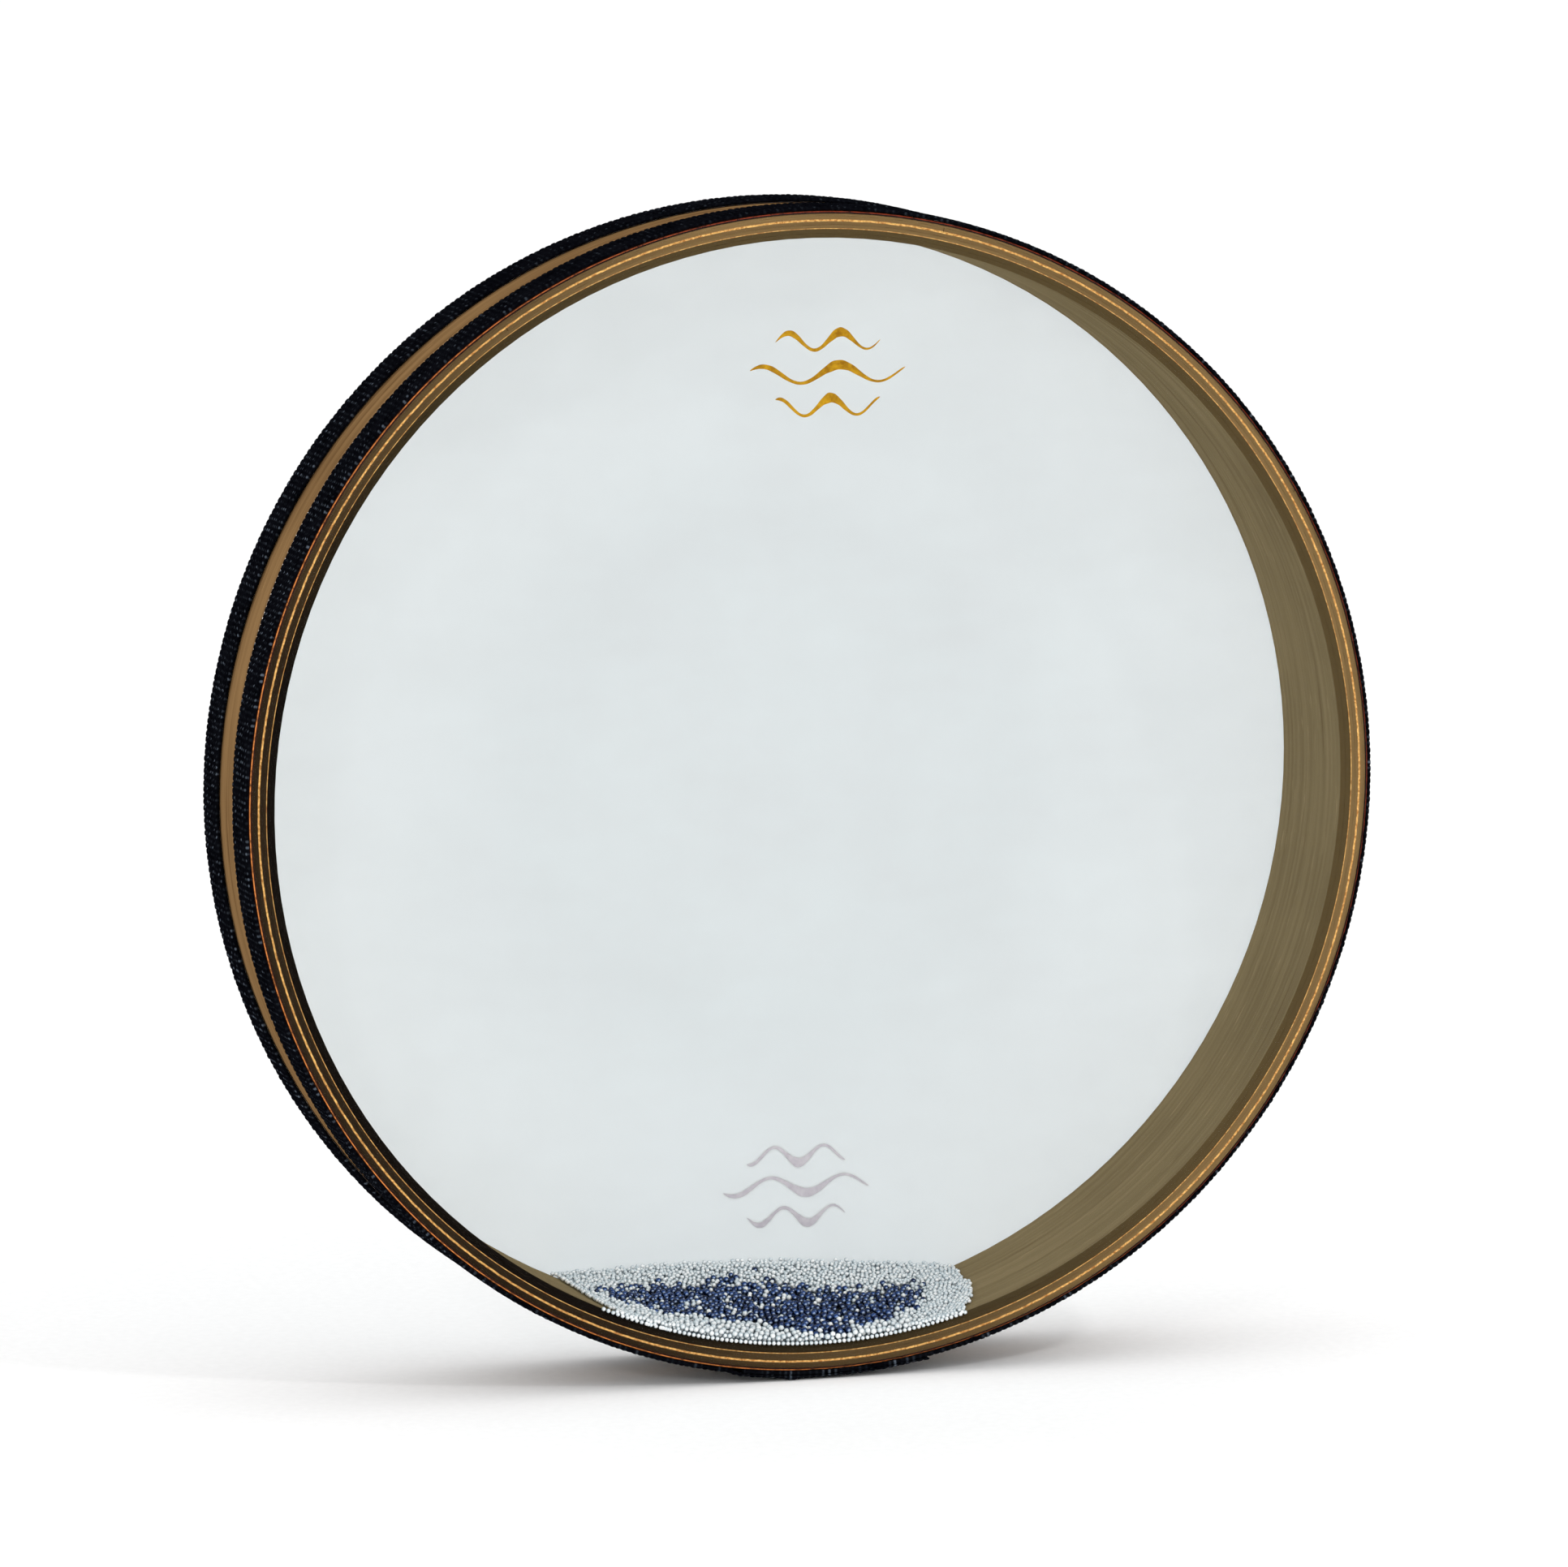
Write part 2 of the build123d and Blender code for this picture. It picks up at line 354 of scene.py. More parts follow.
def white_film():
    """Coated white film, matte, with most of the light on it coming through from the other side."""
    s = Shader("white_film")
    cloud = s.noise(s.place, 16.0, 5.0, 0.6)
    fibre = s.noise(s.stretched(40, 40, 160), 1.0, 6.0, 0.7)
    tone = s.sum("ADD", s.sum("MULTIPLY", cloud, 0.6), s.sum("MULTIPLY", fibre, 0.4))
    # Painted shade: the head darker in its middle and lighter towards the rim, to even out the light on it.
    middle = s.ramp(tone, (0.3, linear(232, 235, 236)), (0.7, linear(235, 239, 240)))
    painted_light_border = s.ramp(tone, (0.3, linear(239, 242, 243)), (0.7, linear(243, 246, 247)))
    radius = axis_place(s)[3]
    colour = s.mix(s.spread(radius, 90 * MM, 190 * MM, 0, 1), middle, painted_light_border)
    s.set("Base Color", colour)
    s.set("Roughness", s.spread(cloud, 0.3, 0.7, 0.5, 0.62))
    s.bump(fibre, 0.1, 0.05 * MM)
    through = s.add("BsdfTranslucent", Color=colour)
    s.finish_with(s.blend(0.8, s.surface, through))
    return s.material


def webbing_cloth():
    """Near-black yarn, with a painted pale glint here and there where a strand turns over a rib, and fewer
    glints towards the top, where it is lit less.
    """
    s = Shader("webbing_cloth", Specular_IOR_Level=0.0)
    thread = s.noise(s.stretched(900, 2600, 900), 1.0, 3.0, 0.6)
    patch = s.noise(s.place, 130.0, 3.0)
    tone = s.sum("ADD", s.sum("MULTIPLY", thread, 0.6), s.sum("MULTIPLY", patch, 0.4))
    yarn = s.ramp(tone, (0.35, linear(2, 2, 4)), (0.68, linear(14, 15, 20)))
    x, y, z = s.add("SeparateXYZ", Vector=s.place).outputs
    round_shell = s.sum("MULTIPLY", s.sum("ARCTAN2", x, z), SHELL_RADIUS / RIB_PITCH)
    strands = s.add("CombineXYZ", X=round_shell, Y=s.sum("MULTIPLY", y, 1 / STRAND_PITCH))
    cells = s.add("TexVoronoi", Vector=strands.outputs[0], Scale=1.0, Randomness=0.35)
    cells.voronoi_dimensions = "2D"
    own = s.add("SeparateColor", Color=cells.outputs["Color"]).outputs[0]
    # Painted highlights: pale glints on the rib crests, thinned out towards the top.
    turn = s.spread(cells.outputs["Distance"], 0.1, 0.28, 1, 0)
    painted_yarn_glint = s.sum("MULTIPLY", turn, s.spread(s.sum("POWER", own, 4), 0, 1, 0.05, 0.8))
    painted_yarn_glint = s.sum("MULTIPLY", painted_yarn_glint, s.spread(z, 100 * MM, 190 * MM, 1, 0.25))
    s.set("Base Color", s.mix(painted_yarn_glint, yarn, solid(98, 108, 120)))
    s.set("Roughness", s.spread(thread, 0.3, 0.7, 0.6, 0.4))
    s.bump(thread, 0.4, 0.2 * MM)
    return s.material


def bond():
    """Cement that has dried in amber drips below the film's skirt."""
    s = Shader("dry_cement")
    drips = s.noise(s.place, 260.0, 4.0)
    s.set("Base Color", s.ramp(drips, (0.3, linear(96, 58, 28)), (0.7, linear(132, 86, 46))))
    s.set("Roughness", s.spread(drips, 0.3, 0.7, 0.3, 0.6))
    s.bump(drips, 0.3, 0.2 * MM)
    return s.material


def staple_wire():
    """Bright wire with fine scratches."""
    s = Shader("staple_wire", Metallic=1.0)
    scratch = s.noise(s.stretched(2500, 400, 2500), 1.0, 4.0)
    s.set("Base Color", s.ramp(scratch, (0.3, (0.42, 0.43, 0.45)), (0.7, (0.62, 0.63, 0.65))))
    s.set("Roughness", s.spread(scratch, 0.3, 0.7, 0.25, 0.45))
    return s.material


def bead_paint(name, low, high, rim, painted_glint, rough, **settings):
    """Beads, each with its own tone, with a painted highlight where it faces the clear head and painted shade
    round its sides.
    """
    s = Shader(name, **settings)
    own = s.add("NewGeometry").outputs["Random Per Island"]
    cloud = s.noise(s.place, 900.0, 2.0)
    tone = s.sum("ADD", s.sum("MULTIPLY", own, 0.8), s.sum("MULTIPLY", cloud, 0.2))
    # Painted shade at each bead's sides, from its rim colour, and a painted highlight on its front, from its
    # glint colour.
    to_front = s.sum("MULTIPLY", s.add("SeparateXYZ", Vector=s.normal).outputs["Y"], -1)
    colour = s.mix(s.spread(to_front, 0, 0.55, 0, 1), (*rim, 1), s.ramp(tone, (0.1, low), (0.9, high)))
    s.set("Base Color", s.mix(s.spread(to_front, 0.84, 0.97, 0, 0.85), colour, (*painted_glint, 1)))
    s.set("Roughness", s.spread(tone, 0.0, 1.0, rough + 0.06, rough - 0.04))
    return s.material


def print_ink(name, low, high, rough, **settings):
    """Ink that lies a little unevenly."""
    s = Shader(name, **settings)
    patch = s.noise(s.place, 420.0, 5.0, 0.7)
    s.set("Base Color", s.ramp(patch, (0.35, low), (0.65, high)))
    s.set("Roughness", s.spread(patch, 0.3, 0.7, rough - 0.08, rough + 0.12))
    return s.material


# ---- webbing -----------------------------------------------------------------------------------

# Ribs run across the strap, and each is a row of strands that cross it
RIB_PITCH = 2.2 * MM
RIB_ROWS = 5
TAPE_COLUMNS = 27
STRAND_PITCH = 2.4 * MM
TAPE_INNER = 203.6 * MM
TAPE_THICKNESS = 1.6 * MM
SELVEDGE = 2.6 * MM
RIB_RELIEF = 0.26
STRAND_WANDER = 0.35
UNEVEN = 0.025
SLACK = 0.05 * MM
SLACK_KNOTS = 60
EDGE_WAVE = 0.012
UNDERSIDE = (1.0, 0.34, -0.34, -1.0)

# Laps: the angles of each one's start and tip, in degrees, and how its upper end climbs, is pressed and curls
LAPS = {"front_webbing": (262.4, 281.5), "back_webbing": (261.6, 273.0)}
LAP_SLIT = 0.05 * MM
LAP_RAMP = math.radians(2.0)
LAP_PRESS = 0.8 * MM
PINCH_AFTER = math.radians(5.0)
PINCH_WIDTH = math.radians(0.7)
CURL = 0.5 * MM
CURL_SPREAD = math.radians(1.2)

# The strap is looser round the bottom of the drum
LOOSE = 0.4 * MM
LOOSE_SPREAD = math.radians(40)


def webbing(node, material):
    """One strap wound once round the shell with its ends lapped, as ribs of woven strands."""
    low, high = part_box(node)
    middle_y, half_width = (low.y + high.y) / 2, (high.y - low.y) / 2
    start, tip = (math.radians(a) for a in LAPS[node])
    length = (2 * math.pi + tip - start) * (TAPE_INNER + TAPE_THICKNESS)
    ribs = round(length / RIB_PITCH)
    rows = ribs * RIB_ROWS + 1
    rng = np.random.default_rng(len(node))

    step = np.arange(rows) / RIB_ROWS
    rib = np.minimum(step.astype(int), ribs - 1)
    along = step - rib
    angle = start + (tip - start + 2 * math.pi) * np.arange(rows) / (rows - 1)
    climb = np.clip((angle - start - 2 * math.pi + LAP_RAMP) / LAP_RAMP, 0, 1)
    climb = climb * climb * (3 - 2 * climb)
    curl = np.clip((angle - tip - 2 * math.pi) / CURL_SPREAD + 1, 0, 1) ** 2 * CURL
    past = angle - start - 2 * math.pi
    pinch = climb * LAP_PRESS * (np.exp(-(((past - PINCH_AFTER) / PINCH_WIDTH) ** 2)) - 1)
    base = TAPE_INNER + climb * (TAPE_THICKNESS + LAP_SLIT)

    across = np.linspace(-1, 1, TAPE_COLUMNS)
    crest = np.sqrt(np.clip(1 - (2 * along - 1) ** 2, 0, 1))
    phase = rng.normal(0, STRAND_WANDER, ribs)[rib][:, None]
    strand = 0.5 + 0.5 * np.cos(
        2 * math.pi * (across[None, :] * half_width / STRAND_PITCH + 0.5 * (rib % 2)[:, None]) + phase
    )
    height = 1 - RIB_RELIEF + RIB_RELIEF * crest[:, None] * (0.4 + 0.6 * strand)
    height *= 1 + rng.normal(0, UNEVEN, (ribs, TAPE_COLUMNS))[rib]
    from_edge = (1 - np.abs(across)) * half_width / SELVEDGE
    selvedge = np.sqrt(np.clip(1 - (1 - np.clip(from_edge, 0, 1)) ** 2, 0, 1))[None, :]
    height = np.clip(height * (0.5 + 0.5 * selvedge), 0.2, 1.0)
    knots = np.linspace(angle[0], angle[-1], SLACK_KNOTS)
    slack = np.interp(angle, knots, rng.normal(0, SLACK, SLACK_KNOTS))
    loose = LOOSE * np.exp(-(((angle % (2 * math.pi) - 1.5 * math.pi) / LOOSE_SPREAD) ** 2))
    top = (base + curl + pinch + loose)[:, None] + TAPE_THICKNESS * height * 0.97
    top = top + np.minimum(slack, 0)[:, None]
    edge_wave = 1 - EDGE_WAVE * (1 - crest)[:, None] * np.abs(across)[None, :] ** 6
    top_y = middle_y + across[None, :] * half_width * edge_wave

    under = np.array(UNDERSIDE)
    under_r = np.repeat((base + curl)[:, None], len(under), axis=1) + 0.02 * MM
    under_y = np.repeat(middle_y + under[None, :] * half_width * 0.985, rows, axis=0)

    radius = np.concatenate([top, under_r], axis=1)
    depth = np.concatenate([top_y, under_y], axis=1)
    points = np.stack(
        [radius * np.cos(angle)[:, None], depth, radius * np.sin(angle)[:, None]], axis=-1
    ).reshape(-1, 3)
    loop = radius.shape[1]
    r, c = np.meshgrid(np.arange(rows - 1), np.arange(loop), indexing="ij")
    n = (c + 1) % loop
    quads = np.stack([r * loop + c, r * loop + n, (r + 1) * loop + n, (r + 1) * loop + c], -1)
    piece = array_object(node.replace("webbing", "ribbed_webbing"), points, quads.reshape(-1, 4))
    close_ends(piece, rows, loop)
    finish_piece(piece, "drum", material, "webbing", node)


def close_ends(piece, rows, loop):
    """Caps the two ends of a strap whose cross-section loops hold this many points."""
    mesh = bmesh.new()
    mesh.from_mesh(piece.data)
    mesh.verts.ensure_lookup_table()
    for first, order in ((0, -1), ((rows - 1) * loop, 1)):
        mesh.faces.new([mesh.verts[first + i] for i in range(loop)][::order])
    bmesh.ops.recalc_face_normals(mesh, faces=mesh.faces)
    mesh.to_mesh(piece.data)
    mesh.free()
    piece.data.shade_smooth()


# ---- beads -------------------------------------------------------------------------------------

# The room that the beads lie in
LOAD_RADIUS = INNER_RADIUS - 0.3 * MM
LOAD_FRONT = HEAD_FRONT + 0.6 * MM
LOAD_BACK = HEAD_BACK - 0.6 * MM

# The heap: where its top meets the shell beside each head, in x, and its height midway between those ends
BACK_ENDS = (-81 * MM, 69.5 * MM)
BACK_HEIGHT = 19 * MM
FRONT_ENDS = (-82 * MM, 62 * MM)
FRONT_HEIGHT = 2.6 * MM

# Bead radii, the pitch of each sort, and how far one layer lies below the next
BLUE = 1.08 * MM
BLUE_EXTRA = 0.28 * MM
BLUE_VARIES = 0.06
BLUE_PITCH = 2.45 * MM
BLUE_LAYER = 1.9 * MM
LARGE = 1.12 * MM
LARGE_VARIES = 0.06 * MM
LARGE_PITCH = 2.25 * MM
SMALL = 0.85 * MM
SMALL_VARIES = 0.04
SMALL_PITCH = 1.78 * MM
SMALL_LAYER = 1.45 * MM

# A bead's centre lies this share of its radius below the heap's top: at first, and the range it settles in
SUNK = 0.6
SETTLED = (0.1, 1.2)
SETTLE_DEPTH = 3.4 * MM
SETTLE_STEPS = 120
LONGEST_MOVE = 0.3 * MM
PAIRS_EVERY = 8

# Rows at the front: how many, and their spacing along and behind each other, in bead radii
FRONT_ROWS = 3
ROW_PITCH = 2.02
ROW_BEHIND = 1.75

# A small bead gives way to a blue or large one that is closer than this share of their radii
GIVES_WAY = 0.88

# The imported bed: how far it lies behind the front head and below the heap's top, and its share of the width
BED_DEPTH = 2.4 * MM
BED_WIDTH = 0.88
BED_COLUMNS = 150
BED_ROWS = 60
BED_LUMP = 0.25 * MM

# The blue patch on top of the heap: its front and back edges, in millimetres
PATCH_FRONT = (
    (-76, 4), (-66, -15), (-50, -19), (-30, -20), (-17, -21), (-7, -28),
    (8, -30), (20, -27), (31, -23), (43, -19), (52, 4),
)
PATCH_BACK = ((-76, 6), (-60, 11), (-24, 14), (0, 11), (19, 2), (34, 0), (52, 4))
PATCH_CLUMP = 5.5 * MM
BIGGEST_AT = (12 * MM, -21 * MM)
BIGGEST_SPREAD = (24 * MM, 13 * MM)

# Large white beads lie at the front between these ends, from this depth forwards, and a few in the patch
LARGE_ENDS = (-54 * MM, 40 * MM)
LARGE_BEHIND = -15 * MM
LARGE_CLUMP = 6 * MM


def arc_height(x, ends, height):
    """The height at x of an arc between two points of the shell's inside, this far above it midway."""
    left, right = ends
    middle = (left + right) / 2
    z_left, z_right = (-math.sqrt(LOAD_RADIUS**2 - e * e) for e in ends)
    z_middle = -math.sqrt(LOAD_RADIUS**2 - middle**2) + height
    chord = (z_left + z_right) / 2
    half = (right - left) / 2
    bow = 1 - ((x - middle) / half) ** 2
    straight = z_left + (z_right - z_left) * (x - left) / (right - left)
    return straight + (z_middle - chord) * bow


def floor_height(x):
    """The height of the shell's inside at x."""
    return -np.sqrt(LOAD_RADIUS**2 - np.clip(np.abs(x), 0, 0.19) ** 2)


def heap_height(x, y):
    """The heap's top at this place, on or above the shell."""
    back = np.clip((y - LOAD_FRONT) / (LOAD_BACK - LOAD_FRONT), 0, 1)
    shell = floor_height(x)
    front_top = np.maximum(arc_height(x, FRONT_ENDS, FRONT_HEIGHT), shell)
    back_top = np.maximum(arc_height(x, BACK_ENDS, BACK_HEIGHT), shell)
    return front_top * (1 - back) + back_top * back


def staggered(pitch, x_range, y_range, rng, jitter):
    """Points of a staggered grid, each moved a little."""
    xs = np.arange(x_range[0], x_range[1], pitch)
    ys = np.arange(y_range[0], y_range[1], pitch * 0.866)
    grid_x, grid_y = np.meshgrid(xs, ys)
    grid_x = grid_x + (np.arange(len(ys)) % 2)[:, None] * pitch / 2
    place = np.stack([grid_x.ravel(), grid_y.ravel()], -1)
    return place + rng.normal(0, jitter * pitch, place.shape)


def near_pairs(points, reach):
    """Index pairs of points closer than reach, by a grid of cells."""
    cell = np.floor(points / reach).astype(np.int64)
    cell -= cell.min(0) - 1
    size = cell.max(0) + 2
    key = (cell[:, 0] * size[1] + cell[:, 1]) * size[2] + cell[:, 2]
    order = np.argsort(key, kind="stable")
    ordered = key[order]
    found_a, found_b = [], []
    for dx in (-1, 0, 1):
        for dy in (-1, 0, 1):
            for dz in (-1, 0, 1):
                other = key + (dx * size[1] + dy) * size[2] + dz
                first = np.searchsorted(ordered, other, "left")
                last = np.searchsorted(ordered, other, "right")
                for slot in range(int((last - first).max()) if len(first) else 0):
                    here = np.nonzero(first + slot < last)[0]
                    there = order[first[here] + slot]
                    keep = here < there
                    found_a.append(here[keep])
                    found_b.append(there[keep])
    a, b = np.concatenate(found_a), np.concatenate(found_b)
    close = np.einsum("ij,ij->i", points[a] - points[b], points[a] - points[b]) < reach * reach
    return a[close], b[close]


def wall_radius(y):
    """The shell's inside at this depth: a bead beside a head lies a little lower, on the bevel."""
    past = np.clip(np.abs(y) - (HALF_DEPTH - BEVEL_FOOT), 0, None)
    return LOAD_RADIUS + 0.5 * past * BEVEL_WIDTH / (BEVEL_FOOT - BEVEL_HEAD)


def settle(points, radii, sunk, held, depth_below, steps):
    """Pushes overlapping beads apart, inside the heap and off the shell and the heads. Held ones stay."""
    for step in range(steps):
        if step % PAIRS_EVERY == 0:
            a, b = near_pairs(points, 2 * radii.max() * 1.15)
        gap = points[a] - points[b]
        distance = np.linalg.norm(gap, axis=1) + 1e-9
        overlap = np.clip(radii[a] + radii[b] - distance, 0, None)
        push = gap / distance[:, None] * (overlap * 0.5)[:, None]
        move = np.zeros_like(points)
        for axis in range(3):
            move[:, axis] += np.bincount(a, push[:, axis], len(points))
            move[:, axis] -= np.bincount(b, push[:, axis], len(points))
        move[held] = 0
        points += np.clip(move, -LONGEST_MOVE, LONGEST_MOVE)
        ceiling = heap_height(points[:, 0], points[:, 1]) - radii * sunk
        held_height = points[held, 2].copy()
        points[:, 2] = np.clip(points[:, 2], ceiling - depth_below, ceiling)
        points[held, 2] = held_height
        points[:, 1] = np.clip(points[:, 1], LOAD_FRONT + radii, LOAD_BACK - radii)
        out = np.hypot(points[:, 0], points[:, 2])
        too_far = np.maximum(out / (wall_radius(points[:, 1]) - radii), 1)
        points[:, 0] /= too_far
        points[:, 2] /= too_far
    return points


def blotches(x, y, cell, rng):
    """Smooth random values from 0 to 1 over the heap, in patches about this wide."""
    grid = rng.random((60, 60))
    u = np.clip(x / cell + 30, 0, 58.99)
    v = np.clip(y / cell + 30, 0, 58.99)
    i, j = u.astype(int), v.astype(int)
    u, v = u - i, v - j
    near = grid[i, j] * (1 - u) + grid[i + 1, j] * u
    far = grid[i, j + 1] * (1 - u) + grid[i + 1, j + 1] * u
    return near * (1 - v) + far * v


def patch_share(x, y, clumps):
    """How blue the top of the heap is here, from 0 to 1."""
    edge_x, edge_y = np.array(PATCH_FRONT).T
    low = np.interp(x / MM, edge_x, edge_y, left=40, right=40)
    high = np.interp(x / MM, *np.array(PATCH_BACK).T)
    inside = np.minimum((y / MM - low) / 3, (high - y / MM) / 10 + 0.4)
    thinner_left = np.interp(x / MM, (-70, -15), (0.66, 1.0))
    lone = 0.05 * (y / MM > low + 2) * (y / MM < high + 12)
    return np.clip(thinner_left * np.clip(inside + 1.1 * (clumps - 0.5), 0, 1) + lone, 0, 1)


def front_rows():
    """Rows of small beads in the groove between the front head and the bevel. The first is a neat one."""
    rows = []
    pitch = SMALL * ROW_PITCH
    for row in range(FRONT_ROWS):
        xs = np.arange(FRONT_ENDS[0] * 0.95 + pitch / 2 * (row % 2), FRONT_ENDS[1] * 0.9, pitch)
        y = np.full(len(xs), LOAD_FRONT + SMALL * (1 + ROW_BEHIND * row))
        z = -np.sqrt((wall_radius(y) - SMALL) ** 2 - xs**2)
        rows.append(np.column_stack([xs, y, z, np.full(len(xs), SMALL)]))
    return rows


def blue_beads(rng, x_range, y_range):
    """Two layers of blue beads in the patch, the biggest near one place at its front."""
    layers = []
    for layer, share in ((0, 1.0), (1, 0.7)):
        place = staggered(BLUE_PITCH, x_range, y_range, rng, 0.3)
        x, y = place.T
        chance = patch_share(x, y, blotches(x, y, PATCH_CLUMP, rng))
        place = place[rng.random(len(place)) < np.clip(1.2 * chance - 0.03, 0, 0.95) * share]
        from_biggest = (((place - BIGGEST_AT) / BIGGEST_SPREAD) ** 2).sum(1)
        size = (BLUE + BLUE_EXTRA * np.exp(-from_biggest)) * rng.normal(1, BLUE_VARIES, len(place))
        top = heap_height(place[:, 0], place[:, 1])
        layers.append(np.column_stack([place, top - size * SUNK - layer * BLUE_LAYER, size]))
    return np.concatenate(layers)


def large_white_beads(rng, x_range, y_range):
    """Large white beads, most of them along the front and a few among the blue ones."""
    place = staggered(LARGE_PITCH, x_range, y_range, rng, 0.25)
    x, y = place.T
    share = patch_share(x, y, blotches(x, y, LARGE_CLUMP, rng))
    front = np.clip((LARGE_BEHIND - y) / (5 * MM), 0, 1) * (x > LARGE_ENDS[0]) * (x < LARGE_ENDS[1])
    place = place[rng.random(len(place)) < 0.85 * front * (1 - share) + 0.09 * share]
    size = rng.normal(LARGE, LARGE_VARIES, len(place))
    return np.column_stack([place, heap_height(place[:, 0], place[:, 1]) - size * SUNK, size])


def small_white_beads(rng, x_range, y_range):
    """The front rows, and two layers of small beads over the whole heap."""
    layers = front_rows()
    for layer in range(2):
        place = staggered(SMALL_PITCH, x_range, y_range, rng, 0.42)
        size = rng.normal(1, SMALL_VARIES, len(place)) * SMALL
        top = heap_height(place[:, 0], place[:, 1])
        room = top - floor_height(place[:, 0])
        keep = room > (0.5 + layer * 1.5) * SMALL
        layers.append(np.column_stack([place, top - size * SUNK - layer * SMALL_LAYER, size])[keep])
    return np.concatenate(layers), len(layers[0])


def bead_places():
    """Places and radii of the beads, and the sort of each: 0 is blue, 1 large white and 2 small white."""
    x_range, y_range = (-80 * MM, 80 * MM), (LOAD_FRONT + 0.8 * MM, LOAD_BACK - 0.6 * MM)
    blue = blue_beads(RNG, x_range, y_range)
    large = large_white_beads(RNG, x_range, y_range)
    small, in_row = small_white_beads(RNG, x_range, y_range)
    taken = np.zeros(len(small), bool)
    for x, y, z, size in np.concatenate([blue, large]):
        gap = np.hypot(np.hypot(small[:, 0] - x, small[:, 1] - y), small[:, 2] - z)
        taken |= gap < GIVES_WAY * (size + small[:, 3])
    taken[:in_row] = False
    small = small[~taken]

    every = np.concatenate([blue, large, small])
    held = np.zeros(len(every), bool)
    held[len(blue) + len(large):][:in_row] = True
    steps = SETTLE_STEPS
    sunk = RNG.uniform(*SETTLED, len(every))
    places = settle(every[:, :3].copy(), every[:, 3], sunk, held, SETTLE_DEPTH, steps)
    sorts = np.repeat([0, 1, 2], [len(blue), len(large), len(small)])
    return places, every[:, 3], sorts


def unit_ball(level):
    """A round ball of triangles with radius 1."""
    mesh = bmesh.new()
    bmesh.ops.create_icosphere(mesh, subdivisions=level, radius=1.0)
    mesh.verts.ensure_lookup_table()
    points = np.array([v.co for v in mesh.verts])
    faces = np.array([[v.index for v in f.verts] for f in mesh.faces])
    mesh.free()
    return points, faces


def balls(name, places, radii, level):
    """One object of many balls, each turned at random so that their facets don't line up."""
    points, faces = unit_ball(level)
    turned = RNG.normal(size=(len(places), 3, 3))
    turn, _ = np.linalg.qr(turned)
    turn[:, :, 0] *= np.sign(np.linalg.det(turn))[:, None]
    all_points = np.einsum("nij,pj->npi", turn, points) * radii[:, None, None] + places[:, None, :]
    all_faces = faces[None] + (np.arange(len(places)) * len(points))[:, None, None]
    return array_object(name, all_points.reshape(-1, 3), all_faces.reshape(-1, 3))


def bead_bed(material):
    """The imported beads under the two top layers, as one closed bumpy solid."""
    columns, rows = BED_COLUMNS, BED_ROWS
    across, back = np.meshgrid(np.linspace(0, 1, columns), np.linspace(0, 1, rows))
    left, right = (BED_WIDTH * (f * (1 - back) + b * back) for f, b in zip(FRONT_ENDS, BACK_ENDS))
    x = left + (right - left) * across
    y = LOAD_FRONT + BED_DEPTH + (LOAD_BACK - LOAD_FRONT - BED_DEPTH - 0.2 * MM) * back
    lumps = BED_LUMP * np.sin(x / MM * 2.9) * np.sin(y / MM * 3.3)
    low = floor_height(x) + 0.05 * MM
    high = np.maximum(heap_height(x, y) - BED_DEPTH + lumps, low + 0.02 * MM)
    points = np.concatenate([np.stack([x, y, z], -1).reshape(-1, 3) for z in (high, low)])
    count = rows * columns
    faces = []
    for r in range(rows - 1):
        for c in range(columns - 1):
            a = r * columns + c
            quad = (a, a + 1, a + columns + 1, a + columns)
            faces += [quad, tuple(count + i for i in reversed(quad))]
    rim = list(range(columns))
    rim += [r * columns + columns - 1 for r in range(1, rows)]
    rim += [(rows - 1) * columns + c for c in range(columns - 2, -1, -1)]
    rim += [r * columns for r in range(rows - 2, 0, -1)]
    for a, b in zip(rim, rim[1:] + rim[:1]):
        faces.append((b, a, count + a, count + b))
    bed = mesh_object("bead_bed", points, faces)
    finish_piece(bed, "bead_load", material, "white_bead", "white_beads")


def bead_load():
    """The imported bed, and the single beads on it in one blue and three white pieces."""
    places, radii, sorts = bead_places()
    # Each rim colour below is painted shade round a bead's sides, and each glint colour a painted highlight
    # on its front.
    pearl = bead_paint(
        "pearl_white",
        low=linear(208, 220, 226),
        high=linear(252, 254, 254),
        rim=linear(150, 170, 180),
        painted_glint=linear(255, 255, 255),
        rough=0.2,
        Coat_Weight=0.3,
        Specular_IOR_Level=0.3,
    )
    navy = bead_paint(
        "metallic_blue",
        low=linear(14, 30, 70),
        high=linear(48, 78, 136),
        rim=linear(2, 5, 14),
        painted_glint=linear(172, 192, 220),
        rough=0.3,
        Metallic=0.75,
    )
    # Painted shade: the buried beads coloured dark grey, as the shade in the gaps between the beads on top.
    shade, pale = linear(60, 72, 80), linear(90, 104, 112)
    bead_bed(bead_paint("packed_beads_painted_shade", low=shade, high=pale, rim=shade, painted_glint=pale, rough=0.5))
    blue = sorts == 0
    blue_group = balls("blue_bead_group", places[blue], radii[blue], 2)
    finish_piece(blue_group, "bead_load", navy, "blue_bead", "blue_beads")
    white = np.nonzero(sorts > 0)[0]
    white = white[np.argsort(places[white, 0])]
    for number, share in enumerate(np.array_split(white, 3), start=1):
        piece = balls(f"white_bead_group_{number}", places[share], radii[share], 1)
        finish_piece(piece, "bead_load", pearl, "white_bead", "white_beads")


# ---- printed ornament: three wave strokes --------------------------------------------------------

FRONT_PRINT = (3 * MM, 147 * MM)
FRONT_PRINT_WIDTH = 61 * MM
BACK_PRINT = (11 * MM, -149 * MM)
BACK_PRINT_WIDTH = 59 * MM
INK_GAP = 0.01 * MM
INK_THICKNESS = 0.03 * MM
INSIDE_GAP = 0.3 * MM

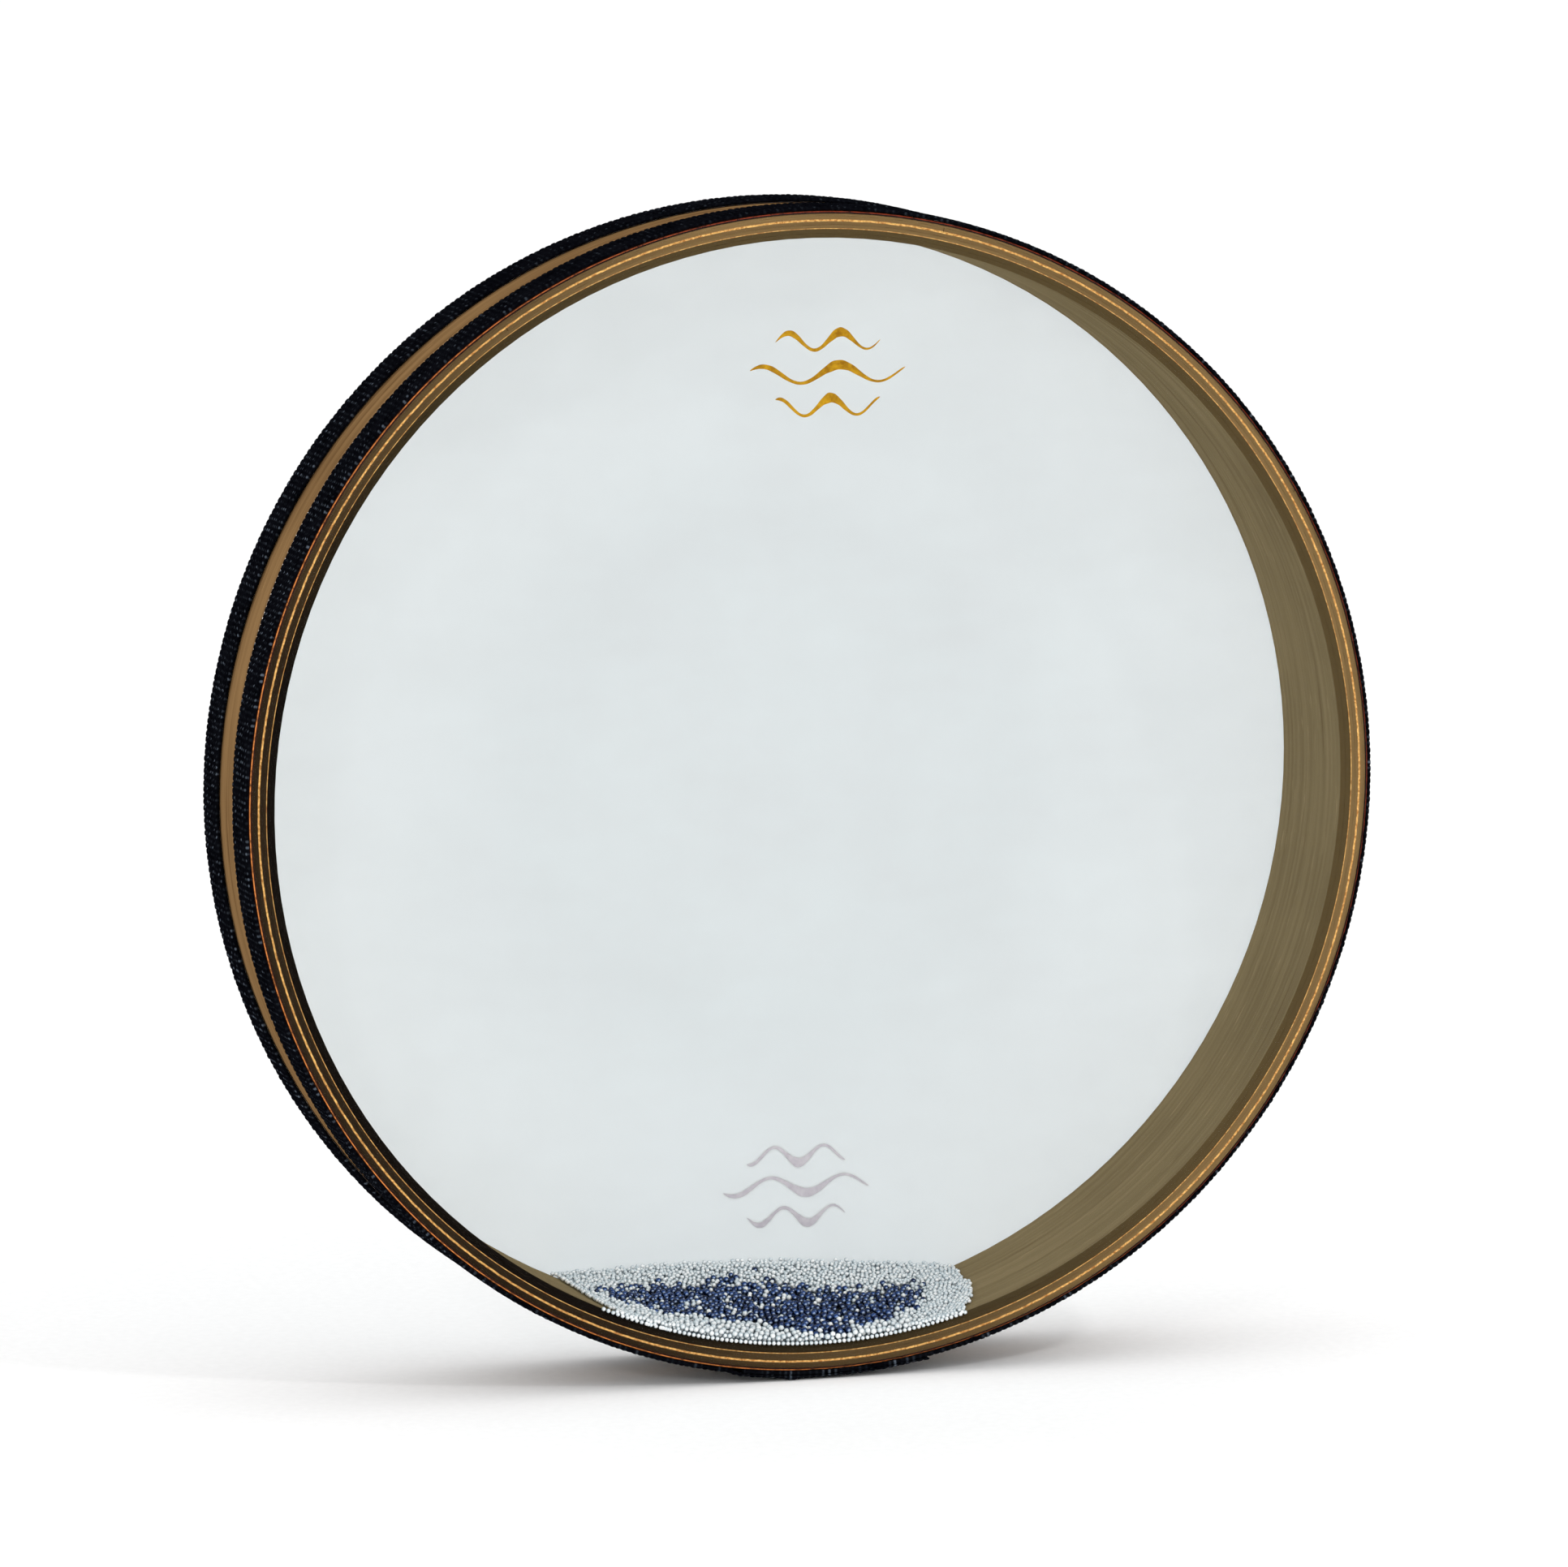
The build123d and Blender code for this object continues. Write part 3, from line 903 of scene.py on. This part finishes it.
# Each wave's length and its place above the middle, as shares of the width
WAVES = ((0.62, 0.186), (0.92, 0.0), (0.62, -0.186))
WAVE_SAMPLES = 90


def wave_strokes(name, centre, y, towards, width, material, slot, upright=1):
    """Three brushed waves printed on a head, each a thin closed ribbon whose width swells and fades."""
    points, faces = [], []
    thickness = INK_THICKNESS * towards
    for stroke, (reach, shift) in enumerate(WAVES):
        first = len(points)
        for i in range(WAVE_SAMPLES):
            t = i / (WAVE_SAMPLES - 1)
            x = (t - 0.5) * width * reach
            swell = math.sin(math.pi * t) ** 0.6
            dry = 1 + 0.05 * math.sin(37 * t + stroke) + 0.04 * math.sin(83 * t + 2 * stroke)
            turn = 4 * math.pi * t + 0.6 * stroke
            half = (0.0015 + 0.027 * swell * dry * (0.3 + 0.7 * (0.5 + 0.5 * math.sin(turn)))) * width
            z = shift * width + 0.05 * width * math.sin(turn)
            for side in (half, -half):
                for lift in (0, thickness):
                    points.append((centre[0] + x, y + lift, centre[1] + upright * (z + side)))
        for i in range(WAVE_SAMPLES - 1):
            a, b = first + 4 * i, first + 4 * (i + 1)
            faces += [
                (a + 1, a + 3, b + 3, b + 1), (a, b, b + 2, a + 2),
                (a, a + 1, b + 1, b), (a + 2, b + 2, b + 3, a + 3),
            ]
        last = first + 4 * (WAVE_SAMPLES - 1)
        faces += [(first, first + 2, first + 3, first + 1), (last, last + 1, last + 3, last + 2)]
    piece = mesh_object(name, points, faces, smooth=False)
    finish_piece(piece, "drum", material, slot)


# ---- build ---------------------------------------------------------------------------------------


def paint(node, material):
    """Gives a CAD node this material alone."""
    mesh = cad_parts[node].data
    mesh.materials.clear()
    mesh.materials.append(material)


def dress_frame():
    """Materials for the CAD nodes that stay."""
    core_light, core_dark = linear(110, 84, 50), linear(66, 47, 26)
    paint("shell_ply_1", wood("inside_ply", linear(138, 123, 92), linear(118, 104, 77), 0.55))
    for number in (2, 4):
        paint(f"shell_ply_{number}", wood(f"core_ply_{number}", core_light, core_dark))
    for number in (3, 5):
        paint(f"shell_ply_{number}", wood(f"cross_ply_{number}", linear(88, 63, 36), linear(52, 35, 19)))
    paint("shell_ply_6", wood("outside_ply", linear(135, 105, 69), linear(102, 76, 48), 0.4))
    paint("front_head", clear_film())
    paint("back_head", white_film())
    cement, wire = bond(), staple_wire()
    for side in ("front", "back"):
        paint(f"{side}_skirt_bond", cement)
        paint(f"{side}_staples", wire)


def floor():
    """A pale paper floor that the drum stands on."""
    corners = [(-12, -12, 0), (12, -12, 0), (12, 20, 0), (-12, 20, 0)]
    plane = mesh_object("studio_floor", corners, [(0, 1, 2, 3)], smooth=False)
    plane.location.z = FLOOR_HEIGHT
    s = Shader("studio_paper", Roughness=0.9)
    grain = s.noise(s.place, 300.0, 2.0)
    s.set("Base Color", s.ramp(grain, (0.3, (0.90, 0.90, 0.90)), (0.7, (0.93, 0.93, 0.93))))
    plane.data.materials.append(s.material)


def softbox(name, place, size, power):
    """A white area light that faces the drum."""
    light = bpy.data.lights.new(name, "AREA")
    light.shape = "RECTANGLE"
    light.size, light.size_y = size
    light.energy = power
    lamp = bpy.data.objects.new(name, light)
    lamp.location = place
    lamp.rotation_euler = (-Vector(place)).to_track_quat("-Z", "Y").to_euler()
    bpy.context.scene.collection.objects.link(lamp)


def studio():
    """Even white light from all round, and two small soft boxes."""
    world = bpy.data.worlds.new("studio")
    world.use_nodes = True
    background = world.node_tree.nodes["Background"]
    background.inputs["Color"].default_value = (1, 1, 1, 1)
    background.inputs["Strength"].default_value = 1.12
    bpy.context.scene.world = world
    softbox("key", (1.3, -2.0, 2.2), (0.22, 0.22), 14)
    softbox("left", (-1.6, -2.4, 1.2), (0.16, 0.3), 7)
    bpy.context.scene.view_settings.view_transform = "Standard"


def camera():
    """The photo's camera."""
    lens = bpy.data.cameras.new("camera")
    lens.lens = CAMERA_LENS
    lens.sensor_width = SENSOR_WIDTH
    lens.clip_end = 100
    eye = bpy.data.objects.new("camera", lens)
    azimuth, elevation = math.radians(CAMERA_AZIMUTH), math.radians(CAMERA_ELEVATION)
    level = math.cos(elevation)
    back = Vector((math.sin(azimuth) * level, -math.cos(azimuth) * level, math.sin(elevation)))
    eye.location = CAMERA_TARGET + back * CAMERA_DISTANCE
    eye.rotation_euler = (-back).to_track_quat("-Z", "Y").to_euler()
    bpy.context.scene.collection.objects.link(eye)
    bpy.context.scene.camera = eye


camera()
studio()
floor()
dress_frame()
cloth = webbing_cloth()
for node in LAPS:
    webbing(node, cloth)
bead_load()
gold = print_ink("gold_ink", linear(140, 96, 8), linear(192, 146, 22), 0.5, Specular_IOR_Level=0.1)
# Painted shadow: a grey copy of the back print inside the white head, for the print's shadow seen through the
# film.
print_shadow = print_ink("print_shadow_seen_through", linear(186, 180, 190), linear(206, 202, 208), 0.6)
wave_strokes(
    "front_wave_print", FRONT_PRINT, HEAD_FRONT - INK_GAP, -1, FRONT_PRINT_WIDTH, gold, "clear_film"
)
wave_strokes(
    "back_wave_print", BACK_PRINT, HEAD_BACK + INK_GAP, 1, BACK_PRINT_WIDTH, gold, "white_film", -1
)
wave_strokes(
    "back_wave_shadow", BACK_PRINT, HEAD_BACK - INSIDE_GAP, -1, BACK_PRINT_WIDTH, print_shadow, "white_film", -1
)
